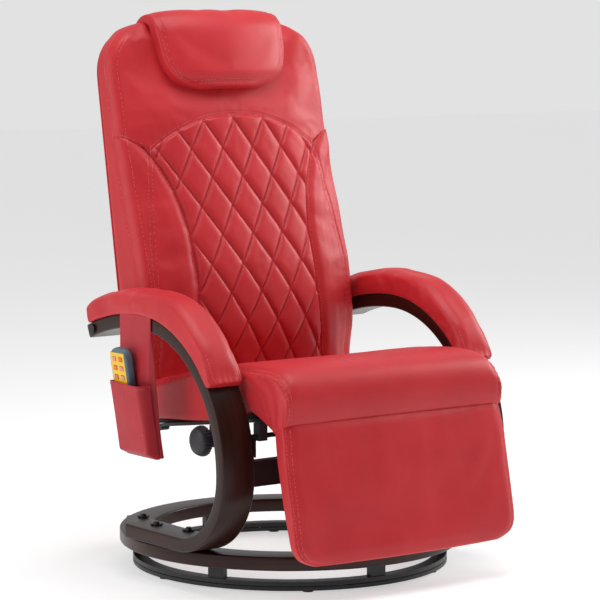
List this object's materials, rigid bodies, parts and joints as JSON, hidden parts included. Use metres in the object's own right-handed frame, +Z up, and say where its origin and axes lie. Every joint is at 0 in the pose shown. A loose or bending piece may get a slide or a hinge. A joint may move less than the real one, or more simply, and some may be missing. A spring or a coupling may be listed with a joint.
{
  "type": "massage chair",
  "caption": "Reclining massage armchair on a swivel ring base, with bentwood arms, a quilted padded back, a head pillow, a hanging footrest and a remote control in a side pocket.",
  "frame": {"origin": "on the floor, on the swivel axis at the middle of the ring base", "axes": "+Z up, the chair faces -Y, +X is the sitter's left"},
  "size_m": [0.6939, 0.6977, 1.0503],
  "materials": {
    "faux_leather": "semi-gloss smooth red imitation leather with a fine grain",
    "pocket_leather": "thin dark red imitation leather",
    "back_cover_fabric": "red imitation leather over a flat panel",
    "walnut_veneer": "dark walnut stained bentwood, satin lacquer",
    "black_steel": "black powder coat, satin",
    "zinc_steel": "bright zinc plated",
    "black_rubber": "matte",
    "glide_plastic": "black acetal",
    "plywood": "raw plywood",
    "motor_case": "dark grey moulded",
    "heater_felt": "brown felt with heating wire inside",
    "knob_plastic": "black moulded, fine texture",
    "remote_plastic": "grey-blue moulded",
    "remote_yellow": "yellow face plate",
    "key_orange": "orange silicone keys"
  },
  "bodies": {
    "base": {"base_foot_pads": "black_rubber", "base_ring": "black_steel", "bearing_balls": "zinc_steel"},
    "frame": {"swivel_ring": "black_steel", "ring_posts": "black_steel", "post_screws": "zinc_steel", "wooden_ring": "walnut_veneer", "arm_frame_right": "walnut_veneer", "arm_frame_left": "walnut_veneer", "star_washers": "black_steel", "foot_bolts": "black_steel", "arm_pad_right": "faux_leather", "arm_pad_left": "faux_leather", "front_crossbar": "black_steel", "crossbar_screws": "zinc_steel", "seat_support_rod": "black_steel", "rod_glides": "glide_plastic", "lock_bracket": "black_steel", "lock_bracket_screws": "zinc_steel", "clamp_bolt": "zinc_steel", "clamp_block": "black_steel", "pivot_bolts": "black_steel", "pivot_spacers": "zinc_steel", "remote_pocket": "pocket_leather"},
    "backrest": {"back_board": "plywood", "back_cushion": "faux_leather", "back_cover": "back_cover_fabric", "head_pillow": "faux_leather", "back_brackets": "black_steel", "back_link_pins": "zinc_steel", "back_motors": "motor_case", "lumbar_heater": "heater_felt"},
    "seat": {"seat_pan": "plywood", "seat_cushion": "faux_leather", "seat_rails": "black_steel", "seat_link_brackets": "black_steel", "seat_motors": "motor_case", "control_box": "glide_plastic", "power_inlet": "glide_plastic", "hinge_straps": "black_steel", "hinge_pins": "zinc_steel"},
    "footrest": {"footrest_board": "plywood", "footrest_cushion": "faux_leather", "footrest_hinge_leaves": "black_steel", "footrest_motor": "motor_case"},
    "knob": {"recline_knob": "knob_plastic"},
    "remote": {"remote_housing": "remote_plastic", "remote_face": "remote_yellow"},
    "key_power": {"key_power": "key_orange"},
    "key_heat": {"key_heat": "key_orange"},
    "key_mode": {"key_mode": "key_orange"},
    "key_speed": {"key_speed": "key_orange"},
    "key_back": {"key_back": "key_orange"},
    "key_seat": {"key_seat": "key_orange"}
  },
  "joints": [
    {"name": "swivel", "type": "hinge", "parent": "base", "child": "frame", "pos_m": [0, 0, 0.01075], "axis": [0, 0, 1], "continuous": true},
    {"name": "recline", "type": "hinge", "parent": "frame", "child": "backrest", "pos_m": [0, 0.17822, 0.45181], "axis": [-1, 0, 0], "range_deg": [0, 25]},
    {"name": "seat_slide", "type": "slide", "parent": "frame", "child": "seat", "axis": [0, -0.989, 0.1478], "range_m": [0, 0.05]},
    {"name": "footrest_fold", "type": "hinge", "parent": "seat", "child": "footrest", "pos_m": [0, -0.303, 0.322], "axis": [-1, 0, 0], "range_deg": [0, 76]},
    {"name": "knob_turn", "type": "hinge", "parent": "frame", "child": "knob", "pos_m": [-0.285, -0.11, 0.271], "axis": [-1, 0, 0], "range_deg": [0, 270]},
    {"name": "remote_lift", "type": "slide", "parent": "frame", "child": "remote", "axis": [-0.1564, 0, 0.9877], "range_m": [0, 0.11]},
    {"name": "key_power_press", "type": "slide", "parent": "remote", "child": "key_power", "axis": [0.9877, 0, 0.1564], "range_m": [0, 0.0008], "stiffness_N_per_m": 500},
    {"name": "key_heat_press", "type": "slide", "parent": "remote", "child": "key_heat", "axis": [0.9877, 0, 0.1564], "range_m": [0, 0.0008], "stiffness_N_per_m": 500},
    {"name": "key_mode_press", "type": "slide", "parent": "remote", "child": "key_mode", "axis": [0.9877, 0, 0.1564], "range_m": [0, 0.0008], "stiffness_N_per_m": 500},
    {"name": "key_speed_press", "type": "slide", "parent": "remote", "child": "key_speed", "axis": [0.9877, 0, 0.1564], "range_m": [0, 0.0008], "stiffness_N_per_m": 500},
    {"name": "key_back_press", "type": "slide", "parent": "remote", "child": "key_back", "axis": [0.9877, 0, 0.1564], "range_m": [0, 0.0008], "stiffness_N_per_m": 500},
    {"name": "key_seat_press", "type": "slide", "parent": "remote", "child": "key_seat", "axis": [0.9877, 0, 0.1564], "range_m": [0, 0.0008], "stiffness_N_per_m": 500}
  ],
  "couplings": [
    {"joint": "seat_slide", "follows": "recline", "m_per_rad": 0.11222},
    {"joint": "footrest_fold", "follows": "recline", "ratio": 3}
  ]
}
